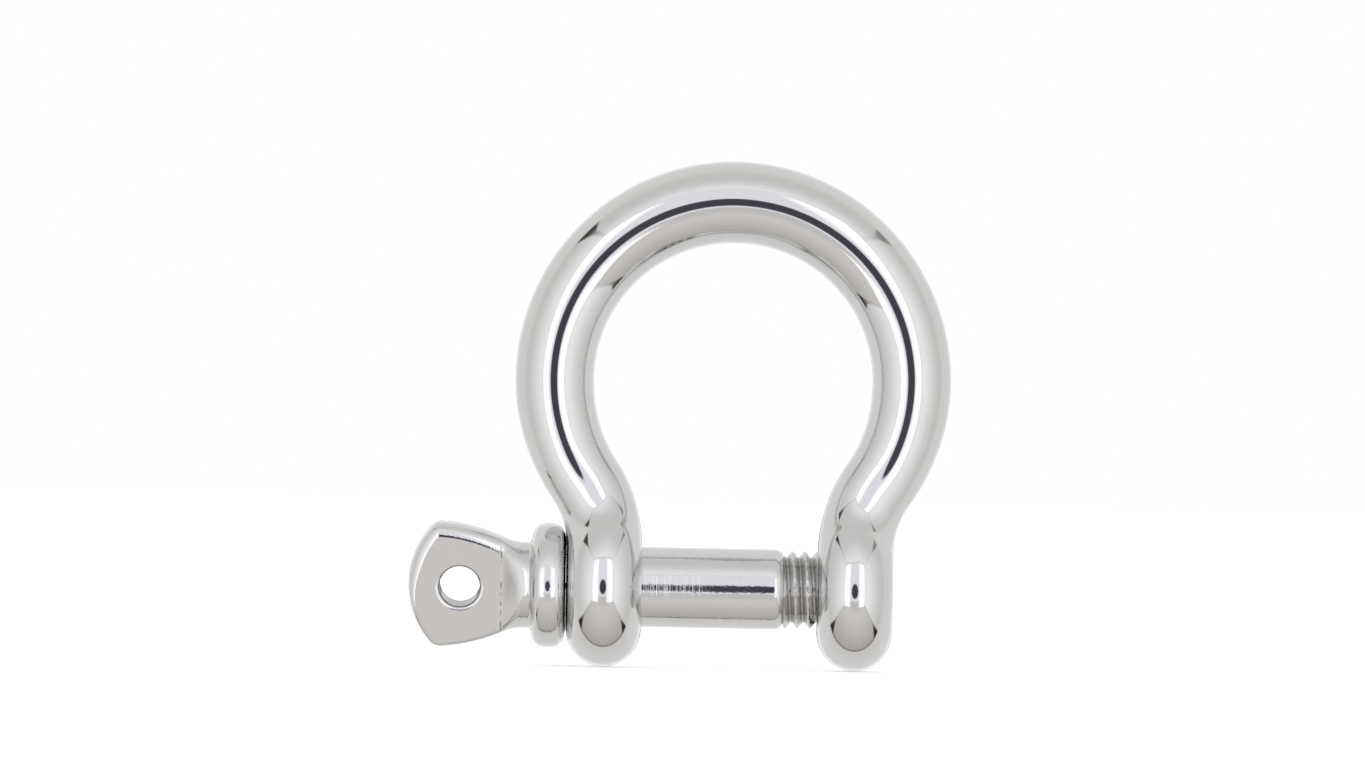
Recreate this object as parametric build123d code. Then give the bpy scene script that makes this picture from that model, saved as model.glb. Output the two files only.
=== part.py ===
from build123d import *
import math
import os

# Bow shackle with a screw pin, in millimetres.
# The origin is on the pin's axis, midway between the two ears. +X runs along the pin towards
# the tapped ear, +Z runs up to the crown of the bow, and Y is across the bow.

# ---- driving dimensions ----
# Bow: one length of round bar, thickest at the crown and thinned by the bending at its necks
crown_diameter = 4.04
side_diameter = 3.90
neck_diameter = 3.72
bow_radius = 8.90            # centre line of the bow
bow_centre_height = 10.35    # centre of that arc above the pin's axis
neck_bend_radius = 6.00      # centre line of the reverse bend above each ear

# Ears: forged flat on the bar's two ends
ear_offset = 6.25            # middle of each ear from the middle of the bow
ear_thickness = 3.76
ear_radius = 4.00
ear_rim_radius = 1.80        # rounding round each ear and up its neck
ear_hollow_radius = 2.30     # hollow between an ear's eye and its neck
plain_bore_diameter = 4.20   # ear at the collar, which the shank slides through
tapped_bore_diameter = 4.00  # far ear, at the major diameter of its thread
bore_edge_break = 0.08

# Screw pin
shank_diameter = 4.00
thread_diameter = 3.90
thread_start = 2.75          # shoulder at the end of the plain shank
thread_end = 7.90
shoulder_chamfer = 0.15
tip_chamfer = 0.40
seat_gap = 0.02              # between the collar and the ear that it closes on
collar_radius = 3.10
collar_thickness = 1.72
collar_corner_radius = 0.12
waist_radius = 2.15          # slimmest place behind the collar
waist_position = 10.25
flare_radius = 2.30          # hollow of the flare from the waist
flare_angle = 24.0
shoulder_radius = 9.40       # swell from the flare to the corners of the head
head_end_radius = 4.35
head_end_position = 16.00
head_corner_radius = 0.22
tab_thickness = 2.00
tab_flat_start = 11.33       # where the tab's flat ends and climbs to the waist
tab_slope = 50.0             # of the climb, in degrees
tab_root_radius = 0.20       # between the flat and the climb
tab_edge_radius = 0.25
lanyard_hole_diameter = 2.00
lanyard_hole_position = 13.43
lanyard_hole_edge_break = 0.10
head_angle = 9.0             # turn of the tightened head out of the bow's plane, in degrees

# ---- derived dimensions ----
neck_angle = math.acos((ear_offset + neck_bend_radius) / (bow_radius + neck_bend_radius))
neck_bend_height = bow_centre_height - (bow_radius + neck_bend_radius) * math.sin(neck_angle)
collar_face = -(ear_offset + ear_thickness / 2 + seat_gap)
collar_back = collar_face - collar_thickness
clear = 2.0                  # how far cutting solids run past what they cut


def bow_point(angle):
    """Point of the bow's centre line, its angle measured up from the horizontal on the +X side."""
    return Vector(
        bow_radius * math.cos(angle), 0, bow_centre_height + bow_radius * math.sin(angle)
    )


def bow_wire():
    """Round bar over the crown, thinning from the crown to the two necks."""
    stations = (
        (-neck_angle, neck_diameter),
        (0, side_diameter),
        (math.pi / 2, crown_diameter),
        (math.pi, side_diameter),
        (math.pi + neck_angle, neck_diameter),
    )
    path = ThreePointArc(
        bow_point(-neck_angle), bow_point(math.pi / 2), bow_point(math.pi + neck_angle)
    )
    sections = []
    for angle, diameter in stations:
        along = Vector(-math.sin(angle), 0, math.cos(angle))
        across = Plane(origin=bow_point(angle), x_dir=(0, 1, 0), z_dir=along)
        sections.append(across * Circle(diameter / 2))
    return sweep(sections, path=path, multisection=True)


def bent_bar():
    """Flat bar wider than an ear, straight past the pin and bent outwards to meet the bow."""
    foot = Vector(ear_offset, 0, -ear_radius - clear)
    bend_start = Vector(ear_offset, 0, neck_bend_height)
    straight = Line(foot, bend_start)
    bend = TangentArc(bend_start, bow_point(-neck_angle), tangent=(0, 0, 1))
    across = Plane(origin=foot, x_dir=(1, 0, 0), z_dir=(0, 0, 1))
    section = across * Rectangle(ear_thickness, 2 * (ear_radius + clear))
    return sweep(section, path=Wire([straight.edge(), bend.edge()]))


def eye_outline():
    """Outline of an ear and its neck along the pin's axis, with a hollow each side of the neck."""
    neck_reach = bow_point(-neck_angle).Z + neck_diameter
    outline = Circle(ear_radius) + Pos(0, neck_reach / 2) * Rectangle(neck_diameter, neck_reach)
    junctions = [corner for corner in outline.vertices() if 0 < corner.Y < ear_radius]
    return fillet(junctions, ear_hollow_radius)


def ear():
    """Ear and neck on the +X side, rounded all the way round to meet the round bar."""
    eye = extrude(Plane.YZ * eye_outline(), amount=2 * ear_offset)
    blank = bent_bar() & eye
    neck_end = blank.faces().sort_by(Axis.Z)[-1]
    rims = [
        edge
        for edge in blank.edges().filter_by(GeomType.LINE, reverse=True)
        if not any(edge.is_same(end_edge) for end_edge in neck_end.edges())
    ]
    return fillet(rims, ear_rim_radius)


def bore(diameter, position):
    """Cutting solid for the hole through the ear at a position, with both edges broken."""
    radius = diameter / 2
    mouth = radius + bore_edge_break
    half = ear_thickness / 2
    outline = Polyline(
        (-half - clear, 0),
        (-half - clear, mouth),
        (-half, mouth),
        (-half + bore_edge_break, radius),
        (half - bore_edge_break, radius),
        (half, mouth),
        (half + clear, mouth),
        (half + clear, 0),
        close=True,
    )
    return Pos(position, 0, 0) * revolve(make_face(outline), Axis.X, 360)


def make_bow():
    """Bow with its two ears, all one forging."""
    tapped_ear = ear()
    plain_ear = mirror(tapped_ear, about=Plane.YZ)
    body = bow_wire() + tapped_ear + plain_ear
    body -= bore(plain_bore_diameter, -ear_offset)
    body -= bore(tapped_bore_diameter, ear_offset)
    return body


def shank_outline():
    """Half section of the shank, thread blank and collar, up to the pin's axis."""
    shank = shank_diameter / 2
    thread = thread_diameter / 2
    rim = collar_thickness / 2
    sides = Polyline(
        (collar_back, collar_radius - rim),
        (collar_back, 0),
        (thread_end, 0),
        (thread_end, thread - tip_chamfer),
        (thread_end - tip_chamfer, thread),
        (thread_start, thread),
        (thread_start - shoulder_chamfer, shank),
        (collar_face, shank),
        (collar_face, collar_radius - rim),
    )
    rounded_rim = ThreePointArc(
        (collar_face, collar_radius - rim),
        (collar_face - rim, collar_radius),
        (collar_back, collar_radius - rim),
    )
    return make_face([sides, rounded_rim])


def head_outline():
    """Half section of the head's blank: waist, flare, swell and the domed end that trims it."""
    waist = (-waist_position, waist_radius)
    flare = JernArc(waist, (-1, 0), flare_radius, -flare_angle)
    swell = JernArc(flare @ 1, flare % 1, shoulder_radius, flare_angle)
    swell_end = swell @ 1
    start = collar_back + clear / 4
    far = -head_end_position - clear
    sides = Polyline(
        (swell_end.X, swell_end.Y),
        (far, swell_end.Y),
        (far, 0),
        (start, 0),
        (start, waist_radius),
        waist,
    )
    blank = make_face([flare, swell, sides])
    dome_centre = -head_end_position + head_end_radius
    dome = Pos(dome_centre, 0) * Circle(head_end_radius)
    dome += Pos((dome_centre + start) / 2, 0) * Rectangle(start - dome_centre, 2 * head_end_radius)
    outline = blank & dome
    corner = outline.vertices().sort_by(Axis.Y)[-1]
    return fillet(corner, head_corner_radius)


def cheek_cut():
    """What is pressed away on the +Y side to leave the flat tab, climbing steeply to the waist."""
    half = tab_thickness / 2
    depth = head_end_radius + clear
    climb_end = -tab_flat_start + (depth - half) / math.tan(math.radians(tab_slope))
    far = -head_end_position - clear
    root = (-tab_flat_start, half)
    outline = make_face(Polyline(root, (climb_end, depth), (far, depth), (far, half), close=True))
    outline = fillet(outline.vertices().sort_by_distance(root)[0], tab_root_radius)
    return extrude(outline, amount=depth, both=True)


def lanyard_hole():
    """Cutting solid for the hole through the tab, with both edges broken."""
    radius = lanyard_hole_diameter / 2
    mouth = radius + lanyard_hole_edge_break
    half = tab_thickness / 2
    outline = Polyline(
        (0, -half - clear),
        (mouth, -half - clear),
        (mouth, -half),
        (radius, -half + lanyard_hole_edge_break),
        (radius, half - lanyard_hole_edge_break),
        (mouth, half),
        (mouth, half + clear),
        (0, half + clear),
        close=True,
    )
    return Pos(-lanyard_hole_position, 0, 0) * revolve(make_face(outline), Axis.Y, 360)


def make_head():
    """Turned blank pressed flat into a tab, with the flat and the climbs rounded into its sides."""
    head = revolve(head_outline(), Axis.X, 360)
    cheek = cheek_cut()
    head -= cheek
    head -= mirror(cheek, about=Plane.XZ)
    side_edges = head.edges().filter_by(GeomType.BSPLINE)
    end_edges = [
        edge
        for edge in head.edges().filter_by(GeomType.CIRCLE)
        if math.isclose(abs(edge.center().Y), tab_thickness / 2, abs_tol=0.01)
    ]
    head = fillet(side_edges + end_edges, tab_edge_radius)
    return head - lanyard_hole()


def make_screw_pin():
    """Screw pin: shank, thread blank and collar, with a flat head that has a lanyard hole."""
    pin = revolve(shank_outline(), Axis.X, 360) + make_head()
    collar_corner = [
        edge
        for edge in pin.edges().filter_by(GeomType.CIRCLE)
        if math.isclose(edge.center().X, collar_back, abs_tol=0.01)
        and math.isclose(edge.radius, waist_radius, abs_tol=0.01)
    ]
    pin = fillet(collar_corner, collar_corner_radius)
    return Rot(head_angle, 0, 0) * pin


if __name__ == "__main__":
    os.makedirs("parts", exist_ok=True)
    export_step(make_bow(), "parts/bow.step")
    export_step(make_screw_pin(), "parts/screw_pin.step")
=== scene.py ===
import math

import bmesh
import bpy
import numpy as np
from mathutils import Matrix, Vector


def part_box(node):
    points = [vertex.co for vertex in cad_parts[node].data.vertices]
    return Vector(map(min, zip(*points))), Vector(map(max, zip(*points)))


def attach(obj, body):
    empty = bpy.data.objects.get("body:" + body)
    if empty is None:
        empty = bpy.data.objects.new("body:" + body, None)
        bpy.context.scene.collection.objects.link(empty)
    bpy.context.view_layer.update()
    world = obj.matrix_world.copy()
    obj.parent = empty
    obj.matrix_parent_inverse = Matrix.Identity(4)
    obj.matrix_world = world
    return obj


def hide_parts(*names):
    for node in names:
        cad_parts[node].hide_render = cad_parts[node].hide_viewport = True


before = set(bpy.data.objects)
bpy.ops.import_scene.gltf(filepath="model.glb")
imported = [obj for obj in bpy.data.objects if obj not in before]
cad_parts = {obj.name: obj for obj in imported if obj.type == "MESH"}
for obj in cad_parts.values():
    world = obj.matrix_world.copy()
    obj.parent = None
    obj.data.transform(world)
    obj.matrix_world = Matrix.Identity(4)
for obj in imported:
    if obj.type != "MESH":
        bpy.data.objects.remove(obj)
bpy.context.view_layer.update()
bow_low, bow_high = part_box("bow")
pin_low, pin_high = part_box("screw_pin")

bl_info = {
    "name": "Bow Shackle",
    "version": (1, 0, 0),
    "blender": (4, 5, 0),
    "location": "3D View > Sidebar > Shackle",
    "description": "Polished bow shackle with a threaded screw pin, and a light tent to show it in",
    "category": "Add Mesh",
}

# Forms are worked out in millimetres, in the frame's own directions, and scaled to metres once at
# the end: the origin is on the pin's axis midway between the ears, +X runs along the pin to the
# tapped ear, and +Z runs up to the crown.
MM = 0.001


def property_kind(make, convert=None, **options):
    """Short way to make properties of one kind from a name, a description and a default."""
    def made(name, description, default):
        default = convert(default) if convert else default
        return make(name=name, description=description, default=default, **options)
    return made


number = property_kind(bpy.props.FloatProperty, min=0.0)
share = property_kind(bpy.props.FloatProperty, min=0.0, max=1.0, subtype="FACTOR")
degrees = property_kind(bpy.props.FloatProperty, math.radians, subtype="ANGLE")
length = property_kind(    # its default is given in millimetres
    bpy.props.FloatProperty, lambda default: default * MM, min=0.0, unit="LENGTH", precision=5
)
colour = property_kind(
    bpy.props.FloatVectorProperty, size=3, min=0.0, soft_max=1.5, subtype="COLOR"
)


# ---- sizes and finishes that a user would change ----

class BowSizes(bpy.types.PropertyGroup):
    """Sizes of the bow: a bent bar with an ear forged on each end."""

    crown_diameter: length("Crown diameter", "Bar at the top of the bow", 4.04)
    side_diameter: length("Side diameter", "Bar at the widest place of the bow", 3.90)
    neck_diameter: length("Neck diameter", "Bar at the necks, above the ears", 3.72)
    neck_bend_radius: length("Neck bend", "Reverse bend above each ear, at the bar's middle", 6.00)
    bend_blend: length("Bend blend", "Stretch over which one bend turns into the next", 1.10)
    ear_offset: length("Ear offset", "Middle of each ear from the middle of the bow", 6.25)
    ear_thickness: length("Ear thickness", "Each ear along the pin", 3.76)
    ear_shoulder: length("Ear shoulder", "Wider arc of each ear between its eye and hollow", 4.60)
    ear_hollow: length("Ear hollow", "Hollow between an ear's shoulder and its neck", 2.50)
    neck_swell: length("Neck swell", "How far the bar has widened where the hollow starts", 0.22)
    swell_reach: length("Swell reach", "Stretch of bar over which it widens", 3.00)
    plain_bore: length("Plain bore", "Bore that the shank slides through", 4.20)
    tapped_bore: length("Tapped bore", "Thread's major diameter in the far ear", 4.00)
    edge_break: length("Edge break", "Chamfer at the mouth of each bore", 0.08)


class PinSizes(bpy.types.PropertyGroup):
    """Sizes of the screw pin."""

    shank_diameter: length("Shank diameter", "Plain shank between collar and thread", 4.00)
    collar_diameter: length("Collar diameter", "Collar that closes on the plain ear", 6.20)
    collar_thickness: length("Collar thickness", "Collar along the pin", 1.72)
    collar_crown: length("Collar crown", "Swell of the collar's rim", 1.43)
    collar_rounding: length("Collar rounding", "Rounding of the collar's corners", 0.45)
    collar_fillet: length("Collar fillet", "Fillet between the waist and the collar", 0.14)
    seat_gap: length("Seat gap", "Room left between the collar and its ear", 0.02)
    waist_radius: length("Waist radius", "Slimmest place behind the collar", 2.15)
    waist_position: length("Waist position", "Start of the flare from the pin's middle", 10.25)
    flare_radius: length("Flare radius", "Hollow of the flare", 2.30)
    flare_angle: degrees("Flare angle", "How far the flare opens", 24.0)
    shoulder_radius: length("Shoulder radius", "Swell from the flare to the corners", 9.40)
    head_end_radius: length("Head end radius", "Dome of the head's end", 4.35)
    head_corner: length("Head corner", "Rounding of the head's two corners", 0.22)
    tab_thickness: length("Tab thickness", "Flat tab of the head", 2.00)
    tab_flat_start: length("Tab flat", "Where the flat ends and climbs to the waist", 11.33)
    tab_slope: degrees("Tab slope", "Slope of the climb from the flat to the waist", 50.0)
    tab_root: length("Tab root", "Fillet between the flat and the climb", 0.06)
    tab_upper_edge: length("Upper edge", "Rounding along the tab's upper edges", 0.48)
    tab_lower_edge: length("Lower edge", "Rounding along the tab's lower edges", 0.16)
    lanyard_hole: length("Lanyard hole", "Diameter of the hole through the tab", 2.00)
    lanyard_place: length("Lanyard place", "Middle of the hole from the pin's middle", 13.43)
    lanyard_edge: length("Lanyard edge", "Rounding of the hole's edges", 0.20)
    head_angle: degrees("Head angle", "Turn of the tightened head out of the bow's plane", 9.0)
    shank_end: length("Shank end", "Where the plain shank starts to round off", 2.20)
    shank_rounding: length("Shank rounding", "Rounding at the end of the plain shank", 0.60)
    thread_diameter: length("Thread diameter", "Crests of the thread", 3.86)
    thread_depth: length("Thread depth", "From crest to root", 0.30)
    thread_pitch: length("Thread pitch", "Advance of one turn", 0.61)
    thread_phase: share("Thread phase", "Part of a turn by which the thread is turned", 0.12)
    thread_start: length("Thread start", "Start of the thread", 2.72)
    thread_end: length("Thread end", "Tip of the pin", 7.90)
    tip_chamfer: length("Tip chamfer", "Chamfer of the pin's tip", 0.40)


class SteelFinish(bpy.types.PropertyGroup):
    """Finish of the polished steel, with the painted sheen of the head's climbs and the painted
    shade inside the lanyard hole.
    """

    steel: colour("Steel", "Reflected colour of the polished steel", (0.712, 0.712, 0.712))
    clouded: colour("Clouded steel", "Steel where the polish is duller", (0.675, 0.675, 0.675))
    roughness: share("Roughness", "Blur of the mirror finish", 0.055)
    dull_roughness: share("Dull roughness", "Blur where the polish is duller", 0.10)
    cut: colour("Cut steel", "Unpolished steel of the thread and the bores", (0.76, 0.75, 0.74))
    flat: colour("Flat steel", "Steel of the head's pressed flats", (0.71, 0.69, 0.67))
    # climb steel is the head's steel painted lighter than the flats, a painted sheen
    climb: colour("Climb steel", "Steel of the climbs beyond the flats", (0.86, 0.845, 0.83))
    # painted shade: this near-black steel inside the lanyard hole stands in for the shade there
    painted_hole_shade: colour("Drilled steel", "Steel inside the lanyard hole", (0.19, 0.187, 0.184))
    cut_roughness: share("Cut roughness", "Blur of the unpolished steel", 0.11)
    satin_roughness: share("Satin roughness", "Blur of the head's pressed flats", 0.36)
    ripple: length("Ripple", "Height of the soft ripple left by hand polishing", 0.0030)
    scratch: length("Scratch", "Depth of the fine polishing lines", 0.00002)
    tool_mark: length("Tool mark", "Depth of the turning marks on the shank", 0.0170)


class StageSizes(bpy.types.PropertyGroup):
    """Camera, floor and light round the shackle."""

    camera_distance: length("Camera distance", "Camera from the shackle's middle plane", 600.0)
    aim_side: length("Aim side", "How far to the head's side the camera aims", 2.53)
    aim_height: length("Aim height", "Height above the pin that the camera aims at", 10.15)
    focal_length: number("Focal length", "Lens in millimetres, on a 36 mm sensor", 317.6)
    camera_roll: degrees("Camera roll", "Turn of the camera about its own view", -1.1)
    floor_half: length("Floor", "Half the side of the square floor", 900.0)
    floor_gap: length("Floor gap", "Room left between the floor and the ears", 0.02)
    floor_colour: colour("Floor colour", "Plain pale floor", (0.93, 0.93, 0.93))
    lamp_power: number("Lamp power", "Soft lamp over the shackle, in watts", 0.55)


# ---- the bow's form ----

def eased(t):
    """Smooth step of values from 0 to 1."""
    return t * t * (3.0 - 2.0 * t)


def rise(place, middle, width):
    """Smooth step from 0 to 1 over a width about the middle."""
    return eased(np.clip((place - middle) / width + 0.5, 0.0, 1.0))


def running_sum(values, step):
    """Running integral of evenly spaced values, from 0."""
    return np.concatenate(([0.0], np.cumsum((values[1:] + values[:-1]) / 2.0) * step))


class BowForm:
    """Form of the bar and ears on the +X side, in the bar's own directions.

    s runs along the bar from the pin's axis to the crown, u points out of the bow, y is across it.
    """

    samples = 3001  # places on the centre line
    below = 5.0     # how far that line runs on below the pin's axis

    def __init__(self, sizes):
        self.ear_radius = bow_high.y / MM
        self.ear_offset = sizes.ear_offset / MM
        self.shoulder = sizes.ear_shoulder / MM
        self.hollow = sizes.ear_hollow / MM
        self.swell = sizes.neck_swell / MM
        self.swell_reach = sizes.swell_reach / MM
        bend = sizes.neck_bend_radius / MM
        half_side = sizes.side_diameter / MM / 2
        half_crown = sizes.crown_diameter / MM / 2
        arc = bow_high.x / MM - half_side
        crown_height = bow_high.z / MM - half_crown
        turn = math.acos((self.ear_offset + bend) / (arc + bend))
        leg_end = crown_height - arc - (arc + bend) * math.sin(turn)
        neck_end = leg_end + bend * turn
        widest = neck_end + arc * turn
        self.length = widest + arc * math.pi / 2
        self.places = np.array((0.0, neck_end, widest, self.length))
        self.halves = np.array(
            (sizes.ear_thickness / MM / 2, sizes.neck_diameter / MM / 2, half_side, half_crown)
        )
        self.lay_centre_line(leg_end, neck_end, bend, arc, crown_height, sizes.bend_blend / MM)

    def lay_centre_line(self, leg_end, neck_end, bend, arc, crown_height, blend):
        """Middle of the bar: a straight leg, the reverse bend and the bow, blended together."""
        self.s = np.linspace(-self.below, self.length, self.samples)
        step = self.s[1] - self.s[0]
        bowed = rise(self.s, neck_end, blend)
        self.bend = (rise(self.s, leg_end, blend) - bowed) / bend - bowed / arc
        self.heading = running_sum(self.bend, step)
        x = self.ear_offset + running_sum(np.sin(self.heading), step)
        z = running_sum(np.cos(self.heading), step) - self.below
        along = np.clip(self.s / self.length, 0.0, 1.0)
        self.x = x - x[-1] * along
        self.z = z + (crown_height - z[-1]) * along

    def half_thickness(self, s):
        """Half the bar's thickness at s, changing smoothly from station to station."""
        s = np.clip(s, self.places[0], self.places[-1])
        after = np.clip(np.searchsorted(self.places, s, side="right"), 1, len(self.places) - 1)
        low, high = self.places[after - 1], self.places[after]
        t = eased((s - low) / (high - low))
        return self.halves[after - 1] * (1.0 - t) + self.halves[after] * t

    def outline(self, y, s, half):
        """Signed distance, in the plane of an ear, to the eye, its neck and the hollows between."""
        y = np.abs(y)
        beyond = self.shoulder - self.ear_radius
        lean = 2.0 * self.swell / self.swell_reach
        hollow_y = half + self.swell + self.hollow * math.cos(lean)
        hollow_s = np.sqrt((self.shoulder + self.hollow) ** 2 - (hollow_y + beyond) ** 2)
        hollow_end = hollow_s - self.hollow * math.sin(lean)
        widening = np.clip(1.0 - (s - hollow_end) / self.swell_reach, 0.0, 1.0) ** 2
        eye = np.hypot(y, s) - self.ear_radius
        shoulder = np.hypot(y + beyond, s) - self.shoulder
        hollow = self.hollow - np.hypot(y - hollow_y, s - hollow_s)
        by_eye = (y + beyond) * hollow_s > s * (hollow_y + beyond)
        ear = np.where(s < 0, eye, np.where(by_eye, shoulder, hollow))
        return np.where(s > hollow_end, y - half - self.swell * widening, ear)

    def distance(self, y, s, u):
        """Signed distance to the forging, whose rim is a full round everywhere."""
        half = self.half_thickness(s)
        return np.hypot(np.maximum(self.outline(y, s, half) + half, 0.0), u) - half

    def point(self, s, y, u):
        """Place in the frame of a point told in the bar's own directions."""
        heading = np.interp(s, self.s, self.heading)
        x = np.interp(s, self.s, self.x) + u * np.cos(heading)
        z = np.interp(s, self.s, self.z) - u * np.sin(heading)
        return np.stack((x, y, z), -1)

    def locate(self, x, z):
        """s and u of points on the +X side, from the nearest place on the centre line."""
        nearest = np.concatenate([
            np.argmin(np.hypot(px[:, None] - self.x, pz[:, None] - self.z), axis=1)
            for px, pz in zip(np.array_split(x, len(x) // 2000 + 1),
                              np.array_split(z, len(z) // 2000 + 1))
        ])
        s = self.s[nearest]
        for _ in range(2):
            heading = np.interp(s, self.s, self.heading)
            bend = np.interp(s, self.s, self.bend)
            dx = x - np.interp(s, self.s, self.x)
            dz = z - np.interp(s, self.s, self.z)
            u = dx * np.cos(heading) - dz * np.sin(heading)
            s = s + (dx * np.sin(heading) + dz * np.cos(heading)) / (1.0 - u * bend)
        return s, u

    def normals(self, points):
        """Unit normals of the forging at points on its surface, on either side."""
        side = np.where(points[:, 0] < 0, -1.0, 1.0)
        y = points[:, 1]
        s, u = self.locate(np.abs(points[:, 0]), points[:, 2])
        step = 1e-4
        slope_y = self.distance(y + step, s, u) - self.distance(y - step, s, u)
        slope_s = self.distance(y, s + step, u) - self.distance(y, s - step, u)
        slope_u = self.distance(y, s, u + step) - self.distance(y, s, u - step)
        slope_s = slope_s / (1.0 - u * np.interp(s, self.s, self.bend))
        heading = np.interp(s, self.s, self.heading)
        nx = slope_u * np.cos(heading) + slope_s * np.sin(heading)
        nz = slope_s * np.cos(heading) - slope_u * np.sin(heading)
        return unit(np.stack((nx * side, slope_y, nz), -1))

    def sections(self, stations, quarter):
        """Closed section of the bar at each station, as arrays of u and y, evenly spaced."""
        angle = np.linspace(0.0, math.pi / 2, 240)
        s = stations[:, None]
        low = np.zeros((len(stations), len(angle)))
        high = low + self.ear_radius + 1.0
        for _ in range(40):    # each time, half of the span that holds the surface is left
            middle = (low + high) / 2
            outside = self.distance(middle * np.sin(angle), s, middle * np.cos(angle)) > 0
            low, high = np.where(outside, low, middle), np.where(outside, middle, high)
        u, y = low * np.cos(angle), low * np.sin(angle)
        along = np.concatenate(
            (np.zeros((len(s), 1)), np.cumsum(np.hypot(np.diff(u), np.diff(y)), axis=1)), axis=1
        )
        even = np.linspace(0.0, 1.0, quarter + 1)
        u, y = (
            np.array([np.interp(even * a[-1], a, row) for a, row in zip(along, rows)])
            for rows in (u, y)
        )
        u[:, -1] = 0.0
        y[:, 0] = 0.0
        ring_u = np.concatenate((u, -u[:, -2::-1], -u[:, 1:], u[:, -2:0:-1]), axis=1)
        ring_y = np.concatenate((y, y[:, -2::-1], -y[:, 1:], -y[:, -2:0:-1]), axis=1)
        return ring_u, ring_y


# ---- the screw pin's form ----

def overlap(a, b, rounding):
    """Distance to what two solids share, with the edge between them rounded."""
    corner = np.hypot(np.maximum(a + rounding, 0.0), np.maximum(b + rounding, 0.0))
    return corner + np.minimum(np.maximum(a, b) + rounding, 0.0) - rounding


def joined(a, b, fillet):
    """Distance to two solids together, with a fillet where they meet."""
    return -overlap(-a, -b, fillet)


class HeadForm:
    """Form of the pin's collar, waist and flat head, before the head is turned by its angle."""

    def __init__(self, sizes, collar_face):
        for name in (
            "waist_radius", "flare_radius", "shoulder_radius", "head_end_radius", "head_corner",
            "tab_flat_start", "tab_root", "tab_upper_edge", "tab_lower_edge", "lanyard_place",
            "lanyard_edge", "collar_crown", "collar_rounding", "collar_fillet",
        ):
            setattr(self, name, getattr(sizes, name) / MM)
        self.tab_slope = sizes.tab_slope
        self.half_tab = sizes.tab_thickness / MM / 2
        self.hole = sizes.lanyard_hole / MM / 2
        self.collar_radius = sizes.collar_diameter / MM / 2
        self.half_collar = sizes.collar_thickness / MM / 2
        self.collar_middle = collar_face - self.half_collar
        self.dome_centre = pin_low.x / MM + self.head_end_radius
        angle = sizes.flare_angle
        self.flare_x = -sizes.waist_position / MM
        self.flare_rho = self.waist_radius + self.flare_radius
        reach = self.flare_radius + self.shoulder_radius
        self.swell_x = self.flare_x - reach * math.sin(angle)
        self.swell_rho = self.flare_rho - reach * math.cos(angle)

    def blank(self, x, rho):
        """Turned blank: the waist, the hollow flare and the swell."""
        waist = rho - self.waist_radius
        flare = self.flare_radius - np.hypot(x - self.flare_x, rho - self.flare_rho)
        swell = np.hypot(x - self.swell_x, rho - self.swell_rho) - self.shoulder_radius
        lean_x, lean_rho = self.swell_x - self.flare_x, self.swell_rho - self.flare_rho
        beyond = (x - self.flare_x) * lean_rho - (rho - self.flare_rho) * lean_x
        return np.where(x > self.flare_x, waist, np.where(beyond < 0, flare, swell))

    def cheeks(self, x, y):
        """Flat tab and the slopes by which it climbs to the waist."""
        flat = np.abs(y) - self.half_tab
        climb = flat * math.cos(self.tab_slope)
        climb = climb - (x + self.tab_flat_start) * math.sin(self.tab_slope)
        return joined(flat, climb, self.tab_root)

    def collar(self, x, rho):
        """Collar with a swelling rim and rounded corners."""
        aside = x - self.collar_middle
        rim = np.hypot(aside, rho - self.collar_radius + self.collar_crown) - self.collar_crown
        return overlap(rim, np.abs(aside) - self.half_collar, self.collar_rounding)

    def distance(self, points):
        """Signed distance to the collar and head."""
        x, y, z = points[..., 0], points[..., 1], points[..., 2]
        rho = np.hypot(y, z)
        dome = np.hypot(x - self.dome_centre, rho) - self.head_end_radius
        turned = overlap(self.blank(x, rho), dome, self.head_corner)
        edge = np.interp(z, (-1.0, 1.0), (self.tab_lower_edge, self.tab_upper_edge))
        head = overlap(turned, self.cheeks(x, y), edge)
        head = np.maximum(head, x - self.collar_middle)
        body = joined(head, self.collar(x, rho), self.collar_fillet)
        hole = self.hole - np.hypot(x + self.lanyard_place, z)
        return overlap(body, hole, self.lanyard_edge)

    def gradient(self, points, step=1e-4):
        """Slope of the distance at points."""
        return np.stack([
            (self.distance(points + shift) - self.distance(points - shift)) / (2 * step)
            for shift in np.eye(3) * step
        ], -1)

    def settle(self, points, rounds):
        """Points moved onto the surface."""
        for _ in range(rounds):
            slope = self.gradient(points)
            steep = np.maximum(np.sum(slope * slope, axis=-1), 0.25)    # never near 0
            points = points - slope * (self.distance(points) / steep)[..., None]
        return points


# ---- mesh helpers ----

def unit(vectors):
    """Vectors scaled to a length of 1."""
    return vectors / np.maximum(np.linalg.norm(vectors, axis=-1, keepdims=True), 1e-12)


def new_object(name, data):
    """New object in the scene's collection."""
    made = bpy.data.objects.new(name, data)
    bpy.context.scene.collection.objects.link(made)
    return made


def mesh_object(name, points, faces):
    """New object from points and faces, closed and with its faces outward."""
    mesh = bpy.data.meshes.new(name)
    mesh.from_pydata([tuple(p) for p in points], [], [tuple(f) for f in faces])
    shape = bmesh.new()
    shape.from_mesh(mesh)
    bmesh.ops.recalc_face_normals(shape, faces=shape.faces)
    shape.to_mesh(mesh)
    shape.free()
    return new_object(name, mesh)


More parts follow.
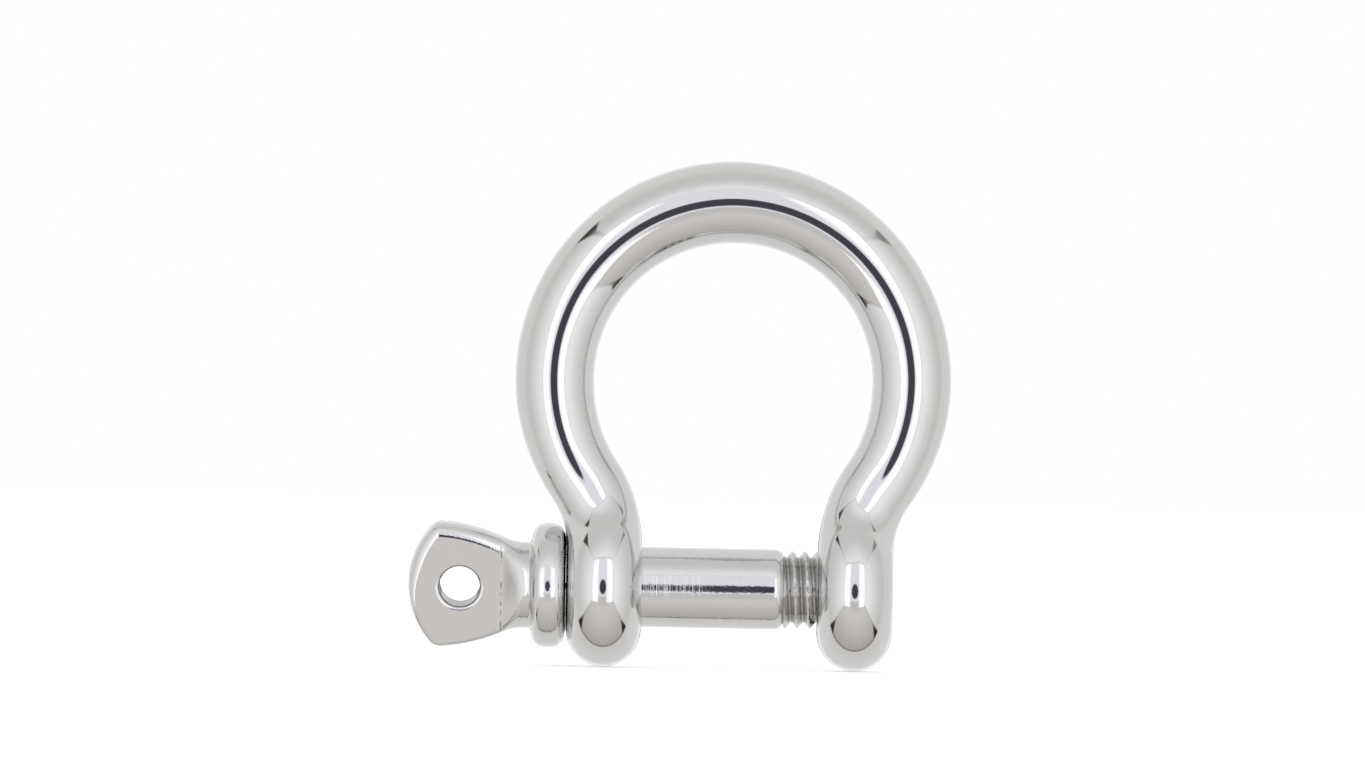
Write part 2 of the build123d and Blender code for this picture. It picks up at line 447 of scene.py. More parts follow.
def lathe(name, profile, around):
    """Solid turned about the X axis from (x, radius) points that start and end on the axis."""
    angles = np.linspace(0.0, 2 * math.pi, around, endpoint=False)
    rings = [
        [(x, radius * math.cos(a), radius * math.sin(a)) for a in angles]
        for x, radius in profile[1:-1]
    ]
    points = [(profile[0][0], 0.0, 0.0)] + [p for ring in rings for p in ring]
    points.append((profile[-1][0], 0.0, 0.0))
    last = len(points) - 1
    faces = []
    for k in range(around):
        after = (k + 1) % around
        faces.append((0, 1 + k, 1 + after))
        for row in range(len(rings) - 1):
            low, high = 1 + row * around, 1 + (row + 1) * around
            faces.append((low + k, high + k, high + after, low + after))
        low = 1 + (len(rings) - 1) * around
        faces.append((last, low + after, low + k))
    return mesh_object(name, points, faces)


def surface_net(form, low, high, step, relaxing):
    """Even quads over a form's surface, with one point in each grid cell that it crosses."""
    axes = [np.arange(a, b + step, step) for a, b in zip(low, high)]
    inside = form.distance(np.stack(np.meshgrid(*axes, indexing="ij"), -1)) < 0
    counts = sum(
        inside[i:i - 1 or None, j:j - 1 or None, k:k - 1 or None].astype(int)
        for i in (0, 1) for j in (0, 1) for k in (0, 1)
    )
    crossed = (counts > 0) & (counts < 8)
    index = np.full(crossed.shape, -1)
    index[crossed] = np.arange(crossed.sum())
    points = np.argwhere(crossed) * step + np.array([a[0] for a in axes]) + step / 2
    quads = []
    for axis in range(3):
        start = np.moveaxis(inside, axis, 0)
        cells = np.moveaxis(index, axis, 0)
        a, b, c = np.argwhere(start[:-1, 1:-1, 1:-1] != start[1:, 1:-1, 1:-1]).T
        quads.append(np.stack(
            (cells[a, b, c], cells[a, b + 1, c], cells[a, b + 1, c + 1], cells[a, b, c + 1]), -1
        ))
    quads = np.concatenate(quads)
    points = form.settle(points, 5)
    for _ in range(relaxing):
        total = np.zeros_like(points)
        count = np.zeros(len(points))
        for one, other in ((0, 1), (1, 2), (2, 3), (3, 0)):
            for here, there in ((one, other), (other, one)):
                np.add.at(total, quads[:, here], points[quads[:, there]])
                np.add.at(count, quads[:, here], 1)
        points = form.settle(total / count[:, None], 2)
    return points, quads


def make_plain(piece, change):
    """Makes what a modifier leaves the piece's own mesh, and removes the modifier."""
    graph = bpy.context.evaluated_depsgraph_get()
    result = bpy.data.meshes.new_from_object(piece.evaluated_get(graph))
    piece.modifiers.remove(change)
    piece.data = result


def combine(piece, other, operation):
    """Cuts or joins another solid with a piece, and removes the other."""
    change = piece.modifiers.new(operation.lower(), "BOOLEAN")
    change.operation = operation
    change.solver = "EXACT"
    change.object = other
    make_plain(piece, change)
    bpy.data.objects.remove(other)
    if not piece.data.polygons:
        raise RuntimeError(f"{operation} left nothing of {piece.name}")


def values_of(items, name, width=1):
    """Values of a mesh's elements, as whole numbers or as rows of so many decimals."""
    values = np.empty(len(items) * width, int if width == 1 else np.float32)
    items.foreach_get(name, values)
    return values if width == 1 else values.reshape(-1, width).astype(float)


def paint(piece, material, chosen):
    """Gives a material to the chosen faces."""
    mesh = piece.data
    mesh.materials.append(material)
    slots = values_of(mesh.polygons, "material_index")
    mesh.polygons.foreach_set("material_index", np.where(chosen, len(mesh.materials) - 1, slots))


def shade(piece, is_formed, form_normals):
    """Corner normals for smooth shading, with the form's own exact ones on is_formed's faces."""
    mesh = piece.data
    mesh.polygons.foreach_set("use_smooth", [True] * len(mesh.polygons))
    mesh.set_sharp_from_angle(angle=math.radians(30))
    corners = values_of(mesh.corner_normals, "vector", 3)
    exact = form_normals(values_of(mesh.vertices, "co", 3))
    formed = np.repeat(is_formed, values_of(mesh.polygons, "loop_total"))
    corners[formed] = exact[values_of(mesh.loops, "vertex_index")[formed]]
    return corners


def finish_mesh(piece, corners, turn):
    """Turns a finished piece about the pin's axis, scales it to metres and keeps its normals."""
    rotation = Matrix.Rotation(turn, 4, "X")
    piece.data.transform(Matrix.Scale(MM, 4) @ rotation)
    turned = corners @ np.array(rotation.to_3x3()).T
    piece.data.normals_split_custom_set([tuple(n) for n in turned])
    piece.data.update()


# ---- node helpers ----

class Tree:
    """A node tree with short ways to add and link its nodes."""

    def __init__(self, tree):
        self.tree = tree

    def feed(self, node, values):
        """Sets a node's inputs, each to a socket to link from or to a default."""
        for key, value in values.items():
            if isinstance(value, bpy.types.NodeSocket):
                self.tree.links.new(value, node.inputs[key])
            else:
                node.inputs[key].default_value = value

    def node(self, kind, values=(), **settings):
        """Adds a node with its settings and inputs."""
        node = self.tree.nodes.new(kind)
        for key, value in settings.items():
            setattr(node, key, value)
        self.feed(node, dict(values))
        return node

    def maths(self, operation, *values):
        """Output of a Math node."""
        return self.node("ShaderNodeMath", dict(enumerate(values)), operation=operation).outputs[0]

    def plus(self, one, other):
        return self.maths("ADD", one, other)

    def minus(self, one, other):
        return self.maths("SUBTRACT", one, other)

    def absolute(self, value):
        return self.maths("ABSOLUTE", value)

    def times(self, product, *others):
        for other in others:
            product = self.maths("MULTIPLY", product, other)
        return product

    def axes(self, place):
        """x, y and z of a place."""
        return self.node("ShaderNodeSeparateXYZ", {0: place}).outputs

    def vector(self, *values):
        """Vector from its x, y and z."""
        return self.node("ShaderNodeCombineXYZ", dict(enumerate(values))).outputs[0]

    def from_axis(self, y, z):
        """Distance from the X axis."""
        return self.maths("SQRT", self.plus(self.times(y, y), self.times(z, z)))

    def noise(self, place, scale, detail=2.0, roughness=0.5):
        """Soft random pattern."""
        return self.node("ShaderNodeTexNoise", {
            "Vector": place, "Scale": scale, "Detail": detail, "Roughness": roughness,
        }).outputs[0]

    def step(self, value, low, high, to_low=0.0, to_high=1.0, kind="SMOOTHSTEP"):
        """Value eased from one level to another between two places."""
        return self.node("ShaderNodeMapRange", {
            "Value": value, "From Min": low, "From Max": high, "To Min": to_low, "To Max": to_high,
        }, interpolation_type=kind).outputs[0]

    def fall(self, value, low, high):
        """1 before two places, easing to 0 after them."""
        return self.step(value, low, high, 1.0, 0.0)

    def band(self, value, low, high, soft):
        """1 between two places, easing to 0 outside them."""
        return self.times(self.step(value, low - soft, low + soft),
                          self.fall(value, high - soft, high + soft))

    def mix(self, factor, *colours):
        """Colour mixed from two colours, each a socket or red, green and blue."""
        first, second = (
            colour if isinstance(colour, bpy.types.NodeSocket) else (*colour, 1.0)
            for colour in colours
        )
        values = {0: factor, 6: first, 7: second}
        return self.node("ShaderNodeMix", values, data_type="RGBA").outputs[2]

    def ramp(self, value, stops):
        """Colour of a value, from (value, grey) or (value, red, green, blue) stops."""
        low, high = stops[0][0], stops[-1][0]
        node = self.node("ShaderNodeValToRGB", {"Fac": self.step(value, low, high, kind="LINEAR")})
        line = node.color_ramp.elements
        while len(line) < len(stops):
            line.new(0.5)
        for element, (place, *levels) in zip(line, stops):
            element.position = (place - low) / (high - low)
            element.color = (*(levels if len(levels) == 3 else 3 * levels), 1.0)
        return node.outputs[0]


def new_material(name, metallic):
    """New material, as it is, its tree, its shader and where its points lie on the object."""
    material = bpy.data.materials.new(name)
    material.use_nodes = True
    tree = Tree(material.node_tree)
    shader = tree.tree.nodes["Principled BSDF"]
    shader.inputs["Metallic"].default_value = metallic
    return material, tree, shader, tree.node("ShaderNodeTexCoord").outputs["Object"]


# ---- helical thread ----

def thread_tree():
    """Geometry Nodes that press a helical groove into a plain cylinder along the X axis."""
    group = bpy.data.node_groups.new("helical_thread", "GeometryNodeTree")
    face = group.interface
    face.new_socket("Geometry", in_out="INPUT", socket_type="NodeSocketGeometry")
    for name in ("Pitch", "Phase", "Depth", "Start", "End", "Run Out"):
        face.new_socket(name, in_out="INPUT", socket_type="NodeSocketFloat")
    face.new_socket("Material", in_out="INPUT", socket_type="NodeSocketMaterial")
    face.new_socket("Geometry", in_out="OUTPUT", socket_type="NodeSocketGeometry")
    tree = Tree(group)
    given = tree.node("NodeGroupInput").outputs
    x, y, z = tree.axes(tree.node("GeometryNodeInputPosition").outputs[0])
    turn = tree.maths("DIVIDE", tree.maths("ARCTAN2", z, y), 2 * math.pi)
    advance = tree.minus(tree.maths("DIVIDE", x, given["Pitch"]), turn)
    from_crest = tree.maths("PINGPONG", tree.plus(advance, given["Phase"]), 0.5)
    groove = tree.step(from_crest, 0.06, 0.44, kind="LINEAR")    # between flat crest and root
    depth = tree.times(
        tree.step(x, given["Start"], tree.plus(given["Start"], given["Run Out"])),
        tree.fall(x, tree.minus(given["End"], given["Run Out"]), given["End"]),
        groove, given["Depth"],
    )
    radius = tree.maths("MAXIMUM", tree.from_axis(y, z), 0.01)    # never 0
    inward = tree.maths("DIVIDE", tree.times(depth, -1.0), radius)
    moved = tree.node("GeometryNodeSetPosition", {
        "Geometry": given["Geometry"],
        "Offset": tree.vector(0.0, tree.times(y, inward), tree.times(z, inward)),
    })
    real = tree.node("GeometryNodeRealizeInstances", {"Geometry": moved.outputs[0]})
    painted = tree.node("GeometryNodeSetMaterial", {
        "Geometry": real.outputs[0], "Material": given["Material"],
    })
    tree.node("NodeGroupOutput", {"Geometry": painted.outputs[0]})
    return group


def cut_thread(piece, material, sizes, start, end, run_out):
    """Presses the pin's thread into a turned piece, and leaves it a plain mesh."""
    group = bpy.data.node_groups.get("helical_thread") or thread_tree()
    change = piece.modifiers.new("thread", "NODES")
    change.node_group = group
    values = {
        "Pitch": sizes.thread_pitch / MM, "Phase": sizes.thread_phase,
        "Depth": sizes.thread_depth / MM, "Start": start, "End": end, "Run Out": run_out,
        "Material": material,
    }
    for item in group.interface.items_tree:
        if item.in_out == "INPUT" and item.name in values:
            change[item.identifier] = values[item.name]
    make_plain(piece, change)


# ---- steel ----

def turning_marks(tree, place):
    """Uneven rings round the X axis, as a cutting tool leaves them on sides and end faces."""
    x, y, z = tree.axes(place)
    fine = 9000.0       # rings to the metre
    long = fine / 40    # changes to the metre on the way round a ring
    rings = tree.vector(tree.times(tree.plus(x, tree.from_axis(y, z)), fine),
                        tree.times(y, long), tree.times(z, long))
    return tree.noise(rings, 1.0, 2.0, 0.65)


def polished_steel(name, finish, shank=None, head=None):
    """Mirror-polished stainless steel.

    shank is the stretch of x with turning marks; head is the head's angle, half the tab's
    thickness, where its flats end and the slope of the climb beyond them.
    """
    material, tree, shader, place = new_material(name, 1.0)
    clouds = tree.noise(place, 420.0, 4.0, 0.55)
    lines = tree.noise(tree.node("ShaderNodeMapping", {
        "Vector": place, "Rotation": (0.4, 0.9, 0.3), "Scale": (7000.0, 7000.0, 700.0),
    }).outputs[0], 1.0, 3.0, 0.6)
    worn = tree.times(tree.step(clouds, 0.45, 0.75), tree.step(lines, 0.35, 0.7))
    steel = tree.mix(worn, finish.steel, finish.clouded)
    blur = tree.step(worn, 0.0, 1.0, finish.roughness, finish.dull_roughness, "LINEAR")
    height = tree.plus(tree.times(tree.noise(place, 520.0, 0.0), finish.ripple),
                       tree.times(lines, finish.scratch))
    if head:
        steel, blur = press_head(tree, place, finish, steel, blur, *head)
    if shank:
        marks = shank_marks(tree, place, *shank)
        height = tree.plus(height, tree.times(marks, finish.tool_mark))
    bump = tree.node("ShaderNodeBump", {"Height": height, "Distance": 1.0, "Strength": 1.0})
    tree.feed(shader, {"Base Color": steel, "Roughness": blur, "Normal": bump.outputs[0]})
    return material


def press_head(tree, place, finish, steel, blur, angle, half_tab, flat_start, slope):
    """Steel and blur with the head's satin flats, the climbs' painted sheen, and a dark line of
    painted shade where they meet.
    """
    unturned = tree.node("ShaderNodeMapping", {"Vector": place, "Rotation": (-angle, 0, 0)})
    x, y, _ = tree.axes(unturned.outputs[0])
    above = tree.minus(tree.absolute(y), half_tab)
    past_root = tree.plus(x, flat_start)
    climb = tree.minus(tree.times(above, math.cos(slope)), tree.times(past_root, math.sin(slope)))
    from_cheek = tree.maths("MINIMUM", tree.absolute(above), tree.absolute(climb))
    from_root = tree.absolute(tree.plus(past_root, 0.03 * MM))
    fade = tree.step(from_root, 0.08 * MM, 0.12 * MM, 0.02 * MM, 0.002 * MM)
    satin = tree.times(tree.fall(from_cheek, tree.times(fade, 0.25), fade),
                       tree.fall(past_root, 1.0 * MM, 1.1 * MM))
    # painted shade: a dark line along the crease where each flat meets its climb, broken up by
    # noise
    line = tree.times(
        tree.step(from_root, 0.02 * MM, 0.055 * MM, 0.8, 0.0),
        tree.fall(above, 0.08 * MM, 0.14 * MM),
        tree.step(above, -0.03 * MM, -0.01 * MM),
        tree.step(tree.noise(place, 2600.0), 0.40, 0.60, 0.25, 1.0),
    )
    # the climbs take the lighter climb steel, a painted sheen over the flats' steel
    pressed = tree.mix(tree.step(above, 0.02 * MM, 0.06 * MM), finish.flat, finish.climb)
    # the painted shade line's near-black colour is laid over the steel here
    steel = tree.mix(line, tree.mix(satin, steel, pressed), (0.12, 0.115, 0.11))
    return steel, tree.plus(blur, tree.times(satin, finish.satin_roughness - finish.roughness))


def shank_marks(tree, place, start, end):
    """Turning marks and specks on the shank, strongest on its first half."""
    x = tree.axes(place)[0]
    middle = (start + end) / 2
    marks = tree.times(
        turning_marks(tree, place), tree.step(x, start, start + 0.3 * MM),
        tree.step(x, middle, middle + 3.4 * MM, 1.0, 0.12),
    )
    marks = tree.plus(marks, tree.times(tree.noise(place, 11000.0, 1.0), 0.20))
    return tree.times(marks, tree.fall(x, end - 0.3 * MM, end))


def cut_steel(name, finish, base, groove=None):
    """Steel of a base colour as the tool left it in threads and holes.

    groove is the radius of a thread's root, where painted shade darkens the steel, and the X of
    the thread's end.
    """
    material, tree, shader, place = new_material(name, 1.0)
    marks = turning_marks(tree, place)
    marks_and_root_shade = tree.step(marks, 0.25, 0.7, 0.72, 1.0)
    # painted shade: towards the thread's root the steel is darkened, except at the thread's end
    if groove:
        root, end = groove
        x, y, z = tree.axes(place)
        marks_and_root_shade = tree.times(marks_and_root_shade, tree.maths(
            "MAXIMUM", tree.step(tree.from_axis(y, z), root, root + 0.26 * MM, 0.62, 1.0),
            tree.step(x, end - 0.05 * MM, end - 0.02 * MM),
        ))
    blur = finish.cut_roughness
    tree.feed(shader, {
        "Base Color": tree.mix(marks_and_root_shade, [0.05 * level for level in base], base),
        "Roughness": tree.step(marks, 0.2, 0.8, 0.7 * blur, 1.3 * blur),
        "Normal": tree.node("ShaderNodeBump", {
            "Height": tree.times(marks, finish.tool_mark), "Distance": 1.0, "Strength": 0.3,
        }).outputs[0],
    })
    return material


# ---- operators ----

class SHACKLE_OT_set_stage(bpy.types.Operator):
    """Sets up the camera, the pale floor, the lamp and the light tent round the shackle"""

    bl_idname = "shackle.set_stage"
    bl_label = "Set Stage"

    def execute(self, context):
        stage = context.scene.shackle_stage
        place_camera(context.scene, stage)
        lay_floor(stage)
        hang_lamp(stage)
        light_tent(context.scene)
        context.scene.view_settings.view_transform = "Standard"
        return {"FINISHED"}


def place_camera(scene, stage):
    """Camera that looks along +Y, level with the middle of the shackle."""
    lens = bpy.data.cameras.new("camera")
    lens.lens = stage.focal_length
    lens.sensor_width = 36.0
    lens.clip_start = 0.01
    scene.camera = new_object("camera", lens)
    scene.camera.location = (-stage.aim_side, -stage.camera_distance, stage.aim_height)
    scene.camera.rotation_euler = (math.pi / 2, stage.camera_roll, 0.0)


def lay_floor(stage):
    """Pale floor that the two ears stand on. It shows white to the camera where no shadow falls."""
    half = stage.floor_half
    height = bow_low.z - stage.floor_gap
    corners = [(half * x, half * y, height) for x, y in ((-1, -1), (1, -1), (1, 1), (-1, 1))]
    mesh = bpy.data.meshes.new("floor")
    mesh.from_pydata(corners, [], [(0, 1, 2, 3)])
    floor = new_object("floor", mesh)
    material, tree, shader, place = new_material("pale_floor", 0.0)
    darker = [0.98 * level for level in stage.floor_colour]
    seen = tree.node("ShaderNodeLightPath").outputs["Is Camera Ray"]
    tree.feed(shader, {
        "Base Color": tree.mix(tree.noise(place, 60.0, 3.0), darker, stage.floor_colour),
        "Roughness": 0.9, "Specular IOR Level": 0.0, "Emission Color": (1.0, 1.0, 1.0, 1.0),
        "Emission Strength": tree.times(seen, 0.35),
    })
    mesh.materials.append(material)
    floor.visible_glossy = False


def hang_lamp(stage):
    """Soft square lamp over and in front of the shackle, which the steel doesn't mirror."""
    lamp = bpy.data.lights.new("soft_lamp", "AREA")
    lamp.energy = stage.lamp_power
    lamp.size = 0.30
    hung = new_object("soft_lamp", lamp)
    hung.location = (-0.06, -0.12, 0.28)
    hung.rotation_euler = (math.radians(25), 0.0, math.radians(-20))
    hung.visible_glossy = False


def light_tent(scene):
    """World that the steel mirrors: a square light tent, open at the back, with a window in front.

    off_axis is the angle in degrees from straight in front, and turn goes round that axis from +X
    towards +Z.
    """
    world = bpy.data.worlds.new("light_tent")
    world.use_nodes = True
    scene.world = world
    tree = Tree(world.node_tree)
    direction = tree.node("ShaderNodeTexCoord").outputs["Generated"]
    x, y, z = tree.axes(direction)
    front = tree.times(y, -1.0)
    off_axis = tree.maths("DEGREES", tree.maths("ARCCOSINE", front))
    turn = tree.maths("DEGREES", tree.maths("ARCTAN2", z, x))
    depth = tree.maths("MAXIMUM", front, 0.02)
    across = tree.maths("DIVIDE", x, depth)
    up = tree.maths("DIVIDE", z, depth)

    # walls, brightest beside the window, with a pale table beyond them at the back
    side = tree.ramp(off_axis, (
        (30, 1.12), (40, 1.09), (50, 1.01),
        (60, 0.915, 0.91, 0.90), (71, 0.83, 0.825, 0.81), (80, 0.77, 0.765, 0.75),
        (88, 0.725, 0.72, 0.70), (95, 0.77, 0.76, 0.745), (103, 0.825, 0.82, 0.80),
        (150, 0.85, 0.845, 0.83), (180, 0.86),
    ))
    upper = tree.ramp(off_axis, (
        (37, 1.07), (45, 1.0), (55, 0.885), (62, 0.79),
        (70, 0.745, 0.745, 0.735), (84, 0.725, 0.725, 0.71), (90, 0.73, 0.73, 0.70),
        (98, 0.80, 0.79, 0.77), (110, 0.84, 0.835, 0.82), (180, 0.86),
    ))
    lower = tree.ramp(off_axis, (
        (18, 0.71, 0.705, 0.70), (26, 0.715, 0.70, 0.685), (32, 0.785, 0.76, 0.735),
        (44, 0.77, 0.74, 0.715), (60, 0.69, 0.67, 0.645), (76, 0.61, 0.59, 0.57),
        (90, 0.54, 0.52, 0.50), (95, 0.53, 0.51, 0.49), (99, 0.76, 0.75, 0.73),
        (115, 0.80, 0.79, 0.775), (180, 0.86),
    ))
    seam = tree.band(off_axis, 93.6, 97.0, 0.9)
    lower = tree.mix(tree.times(seam, 0.6), lower, (0.1, 0.09, 0.08))

    # the tent's four edges run from the window's corners to the corners at the back. Each has its
    # start, its turn at both ends, and how wide and how dark its cloth gapes at the back
    edges = [
        (tree.step(off_axis, start, 95.0, window_turn, back_turn, "LINEAR"), start, width, dark)
        for start, window_turn, back_turn, width, dark in (
            (40.0, -151.0, -145.0, 4.6, 1.0), (33.0, -34.0, -41.0, 4.6, 1.0),
            (42.0, 47.0, 44.0, 2.2, 0.6), (45.0, 133.0, 136.0, 3.6, 0.95),
        )
    ]
    shown = side
    for wall, first, last in ((upper, edges[2], edges[3]), (lower, edges[0], edges[1])):
        shown = tree.mix(tree.times(
            tree.step(tree.minus(turn, first[0]), -1.5, 1.5),
            tree.fall(tree.minus(turn, last[0]), -1.5, 1.5),
        ), shown, wall)
    for middle, start, width, dark in edges:
        reach = tree.plus(tree.step(off_axis, start, 74.0, 0.7, 0.9, "LINEAR"),
                          tree.step(off_axis, 74.0, 95.0, 0.0, width, "LINEAR"))
        aside = tree.maths("DIVIDE", tree.absolute(tree.minus(turn, middle)), reach)
        shown = tree.mix(tree.times(
            tree.step(aside, 0.75, 1.25, dark, 0.0), tree.step(off_axis, 60.0, 88.0, 0.25, 1.0),
            tree.fall(off_axis, 94.5, 97.5),
        ), shown, (0.04, 0.035, 0.03))

    # window in front with its thin frame, its grey middle, and the round opening for the lens
    facing = tree.step(front, 0.05, 0.1)
    frame_line, pane = (
        tree.times(tree.band(across, left, right, 0.02), tree.band(up, foot, top, 0.02), facing)
        for left, right, foot, top in ((-0.72, 0.58, -0.46, 0.77), (-0.68, 0.54, -0.42, 0.72))
    )
    strip = tree.mix(tree.step(up, -0.27, -0.235), (0.70, 0.69, 0.685), (0.985, 0.965, 1.03))
    glow = tree.mix(tree.band(across, -0.30, 0.19, 0.05), (1.40, 1.40, 1.40), strip)
    shown = tree.mix(tree.times(frame_line, 0.6), shown, (0.70, 0.69, 0.70))
    shown = tree.mix(pane, shown, glow)
    from_lens = tree.node("ShaderNodeVectorMath", {
        0: direction, 1: (-0.035, -0.9993, -0.009),
    }, operation="DOT_PRODUCT").outputs["Value"]
    from_lens = tree.maths("DEGREES", tree.maths("ARCCOSINE", from_lens))
    shown = tree.mix(tree.fall(from_lens, 8.9, 11.1), shown, (0.072, 0.066, 0.085))

    # a dim opening straight behind, with a softly brighter stretch of cloth round it
    shown = tree.mix(tree.band(off_axis, 152.0, 166.0, 5.0), shown, (1.0, 1.0, 1.01))
    shown = tree.mix(tree.step(off_axis, 169.0, 173.0), shown, (0.20, 0.195, 0.21))

    mirrored = tree.node("ShaderNodeLightPath").outputs["Is Glossy Ray"]
    tree.feed(tree.tree.nodes["Background"], {
        "Color": tree.mix(mirrored, (1.0, 1.0, 1.0), shown), "Strength": 1.0,
    })


class SHACKLE_OT_forge_bow(bpy.types.Operator):
    """Makes the bow: a bent bar, thickest at the crown, with a bored ear on each end"""

    bl_idname = "shackle.forge_bow"
    bl_label = "Forge Bow"

    quarter = 26          # points round a quarter of the bar
    station_step = 0.20   # between sections along the bar
    eye_steps = 56        # sections round the lower half of each ear
    bore_around = 96      # points round each bore
    tapped_rows = 121     # mesh rows along the tapped bore
    tapped_run_out = 0.35    # stretch over which its thread starts and ends

    def execute(self, context):
        scene = context.scene
        sizes, finish = scene.shackle_bow, scene.shackle_finish
        form = BowForm(sizes)
        bow = self.forge(form)
        steel = polished_steel("bow_steel_polished", finish)
        bow.data.materials.append(steel)
        self.bore_ears(bow, sizes, scene.shackle_pin, steel)
        centres = values_of(bow.data.polygons, "center", 3)
        mouth = (sizes.plain_bore / 2 + sizes.edge_break) / MM
        bored = np.hypot(centres[:, 1], centres[:, 2]) < mouth - 0.02
        paint(bow, cut_steel("bow_steel_bored", finish, finish.cut), bored)
        finish_mesh(bow, shade(bow, ~bored, form.normals), 0.0)
        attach(bow, "bow")
        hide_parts("bow")
        return {"FINISHED"}

    def forge(self, form):
        """Bar in sections from ear to ear, with each ear's lower half turned about the pin."""
        stations = np.linspace(0.0, form.length, int(form.length / self.station_step) + 1)
        ring_u, ring_y = form.sections(stations, self.quarter)
        half = form.point(stations[:, None], ring_y, ring_u)
        other = half * np.array((-1.0, 1.0, 1.0))
        rings = np.concatenate((other, half[-2::-1]))
        around = rings.shape[1]
        points = rings.reshape(-1, 3)
        faces = []
        for row in range(len(rings) - 1):
            for k in range(around):
                after = (k + 1) % around
                low, high = row * around, (row + 1) * around
                faces.append((low + k, low + after, high + after, high + k))
        half_ring = slice(2 * self.quarter + 1)
        for first, side in ((0, -1.0), ((len(rings) - 1) * around, 1.0)):
            ear_points, ear_faces = self.lower_ear(
                form, ring_u[0, half_ring], ring_y[0, half_ring], first, around, len(points), side
            )
            points = np.concatenate((points, ear_points))
            faces += ear_faces
        return mesh_object("bow", points, faces)

    def lower_ear(self, form, profile_u, profile_rho, first, around, next_point, side):
        """Lower half of an ear: its half section turned about the pin's axis."""
        columns = len(profile_u) - 1
        angles = np.linspace(0.0, math.pi, self.eye_steps + 1)[1:-1, None]
        u, rho = profile_u[1:-1], profile_rho[1:-1]
        x = side * (form.ear_offset + u) + 0.0 * angles
        points = np.stack((x, rho * np.cos(angles), -rho * np.sin(angles)), -1)
        index = np.tile(first + np.arange(columns + 1), (self.eye_steps + 1, 1))
        index[-1, 1:-1] = first + around - np.arange(1, columns)
        index[1:-1, 1:-1] = next_point + np.arange(x.size).reshape(x.shape)
        loops = np.stack((index[:-1, :-1], index[:-1, 1:], index[1:, 1:], index[1:, :-1]), -1)
        faces = [tuple(dict.fromkeys(loop)) for loop in loops.reshape(-1, 4).tolist()]
        return points.reshape(-1, 3), faces

    def bore_ears(self, bow, sizes, pin, steel):
        """Bores one ear plain and taps the other in step with the pin's thread."""
        half = sizes.ear_thickness / MM / 2
        edge = sizes.edge_break / MM
        far = half + 1.0    # the cutter's ends, well clear of the ear
        for side, diameter in ((-1, sizes.plain_bore), (1, sizes.tapped_bore)):
            radius = diameter / MM / 2
            middle = side * sizes.ear_offset / MM
            tapped = side > 0
            inner = np.linspace(-half + edge, half - edge, self.tapped_rows if tapped else 2)
            profile = [(-far, 0.0), (-far, radius + edge), (-half, radius + edge)]
            profile += [(x, radius) for x in inner]
            profile += [(half, radius + edge), (far, radius + edge), (far, 0.0)]
            profile = [(middle + x, rho) for x, rho in profile]
            cutter = lathe("bore_cutter", profile, self.bore_around)
            if tapped:
                cut_thread(cutter, steel, pin, middle - half, middle + half, self.tapped_run_out)
            combine(bow, cutter, "DIFFERENCE")


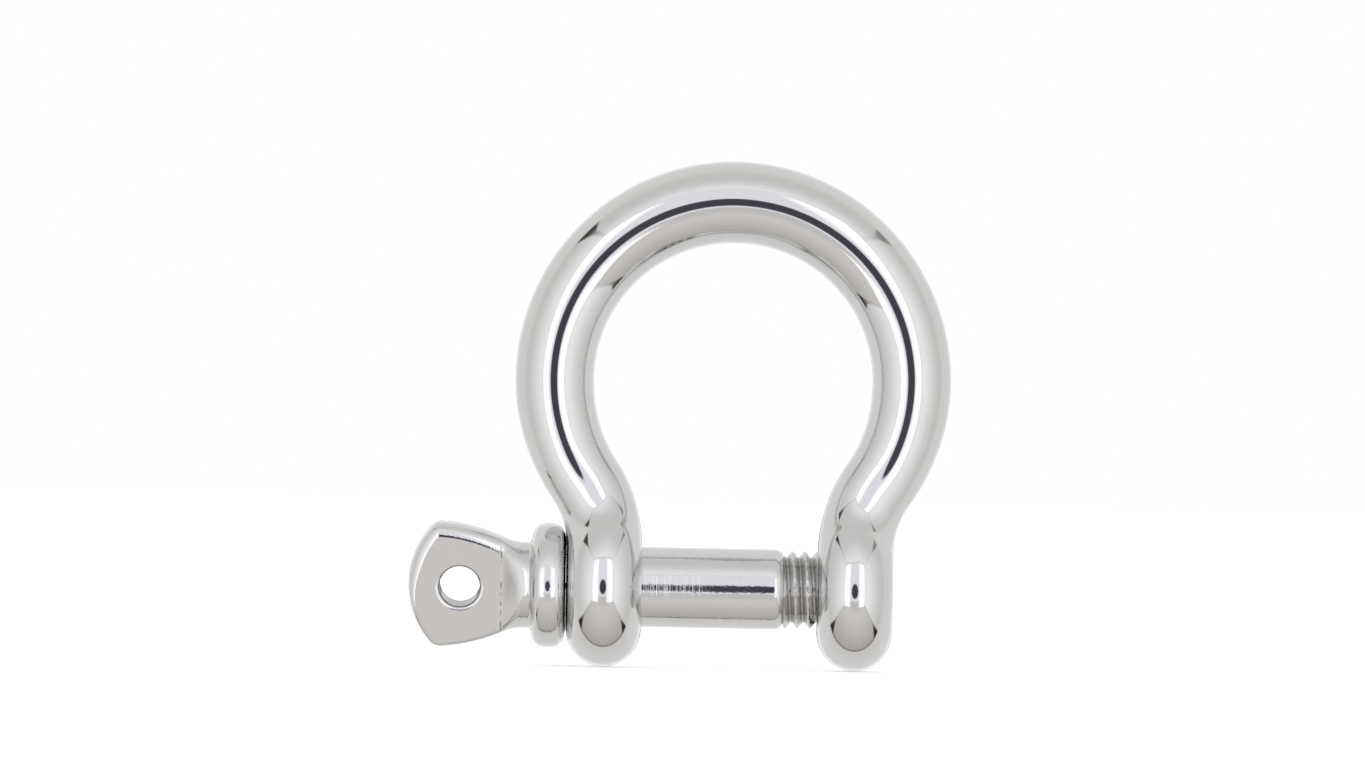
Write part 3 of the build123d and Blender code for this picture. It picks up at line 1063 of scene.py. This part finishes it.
class SHACKLE_OT_turn_pin(bpy.types.Operator):
    """Makes the screw pin: threaded shank, collar, waist and flat head with its lanyard hole"""

    bl_idname = "shackle.turn_pin"
    bl_label = "Turn Screw Pin"

    head_step = 0.075     # mesh size on the head and collar
    head_room = 0.2       # how far their grid reaches past them
    relaxing = 4          # rounds that even out their mesh
    near = 0.01           # how close to a form a face counts as part of it
    around = 112          # points round the shank
    thread_steps = 22     # mesh rows in one turn of the thread
    run_out = 0.12        # stretch over which the thread starts

    def execute(self, context):
        scene = context.scene
        sizes, bow, finish = scene.shackle_pin, scene.shackle_bow, scene.shackle_finish
        collar_face = -(bow.ear_offset + bow.ear_thickness / 2 + sizes.seat_gap) / MM
        steel = polished_steel(
            "pin_steel_polished", finish, (collar_face * MM, sizes.shank_end),
            (sizes.head_angle, sizes.tab_thickness / 2, sizes.tab_flat_start, sizes.tab_slope),
        )
        pin = self.turn_shank(sizes, collar_face, steel)
        form = HeadForm(sizes, collar_face)
        room = self.head_room
        reach = form.collar_radius + room
        points, quads = surface_net(
            form, (pin_low.x / MM - room, -reach, -reach), (collar_face + room, reach, reach),
            self.head_step, self.relaxing,
        )
        head = mesh_object("head", points, quads)
        head.data.materials.append(steel)
        combine(pin, head, "UNION")
        centres = values_of(pin.data.polygons, "center", 3)
        hole_reach = form.hole + self.near
        # faces inside the lanyard hole, which get the dark painted shade
        painted_hole_shade = np.hypot(centres[:, 0] + form.lanyard_place, centres[:, 2]) < hole_reach
        threaded = centres[:, 0] > sizes.thread_start / MM - 0.05
        # root radius and end of the thread, for the painted shade in its grooves
        groove = (sizes.thread_diameter / 2 - sizes.thread_depth, sizes.thread_end)
        paint(pin, cut_steel("pin_steel_threaded", finish, finish.cut, groove), threaded)
        paint(pin, cut_steel("pin_steel_drilled", finish, finish.painted_hole_shade), painted_hole_shade)
        corners = shade(pin, np.abs(form.distance(centres)) < self.near,
                        lambda places: unit(form.gradient(places)))
        finish_mesh(pin, corners, sizes.head_angle)
        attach(pin, "pin")
        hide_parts("screw_pin")
        return {"FINISHED"}

    def turn_shank(self, sizes, collar_face, steel):
        """Shank from inside the collar to the tip, with its thread cut."""
        shank = sizes.shank_diameter / MM / 2
        thread = sizes.thread_diameter / MM / 2
        start, end = sizes.thread_start / MM, sizes.thread_end / MM
        thread_rows = int((end - start) / (sizes.thread_pitch / MM) * self.thread_steps)
        tip = thread - sizes.tip_chamfer / MM
        root = collar_face - 0.4    # inside the collar, so that the two join
        shank_end, rounding = sizes.shank_end / MM, sizes.shank_rounding / MM
        profile = [(root, 0.0)] + [(x, shank) for x in np.linspace(root, shank_end, 30)]
        for angle in np.radians(np.linspace(2, 52, 16)):
            profile.append((shank_end + rounding * math.sin(angle),
                            shank - rounding * (1 - math.cos(angle))))
        for x in np.linspace(start, end, thread_rows):
            profile.append((x, min(thread, tip + (end - x))))
        profile.append((end, 0.0))
        pin = lathe("screw_pin", profile, self.around)
        pin.data.materials.append(steel)
        cut_thread(pin, steel, sizes, start - self.run_out, end + 0.4, self.run_out)
        return pin


class SHACKLE_PT_panel(bpy.types.Panel):
    """Sidebar panel with the shackle's operators and sizes"""

    bl_idname = "SHACKLE_PT_panel"
    bl_label = "Bow Shackle"
    bl_space_type = "VIEW_3D"
    bl_region_type = "UI"
    bl_category = "Shackle"

    def draw(self, context):
        for operator, settings in (
            ("shackle.set_stage", context.scene.shackle_stage),
            ("shackle.forge_bow", context.scene.shackle_bow),
            ("shackle.turn_pin", context.scene.shackle_pin),
        ):
            self.layout.operator(operator)
            for name in settings.__annotations__:
                self.layout.prop(settings, name)
        for name in context.scene.shackle_finish.__annotations__:
            self.layout.prop(context.scene.shackle_finish, name)


settings_groups = {
    "shackle_bow": BowSizes,
    "shackle_pin": PinSizes,
    "shackle_finish": SteelFinish,
    "shackle_stage": StageSizes,
}
classes = (
    *settings_groups.values(),
    SHACKLE_OT_set_stage,
    SHACKLE_OT_forge_bow,
    SHACKLE_OT_turn_pin,
    SHACKLE_PT_panel,
)


def register():
    for item in classes:
        bpy.utils.register_class(item)
    for name, group in settings_groups.items():
        setattr(bpy.types.Scene, name, bpy.props.PointerProperty(type=group))


def unregister():
    for name in settings_groups:
        delattr(bpy.types.Scene, name)
    for item in reversed(classes):
        bpy.utils.unregister_class(item)


def main():
    register()
    bpy.ops.shackle.set_stage()
    bpy.ops.shackle.forge_bow()
    bpy.ops.shackle.turn_pin()


if __name__ == "__main__":
    main()
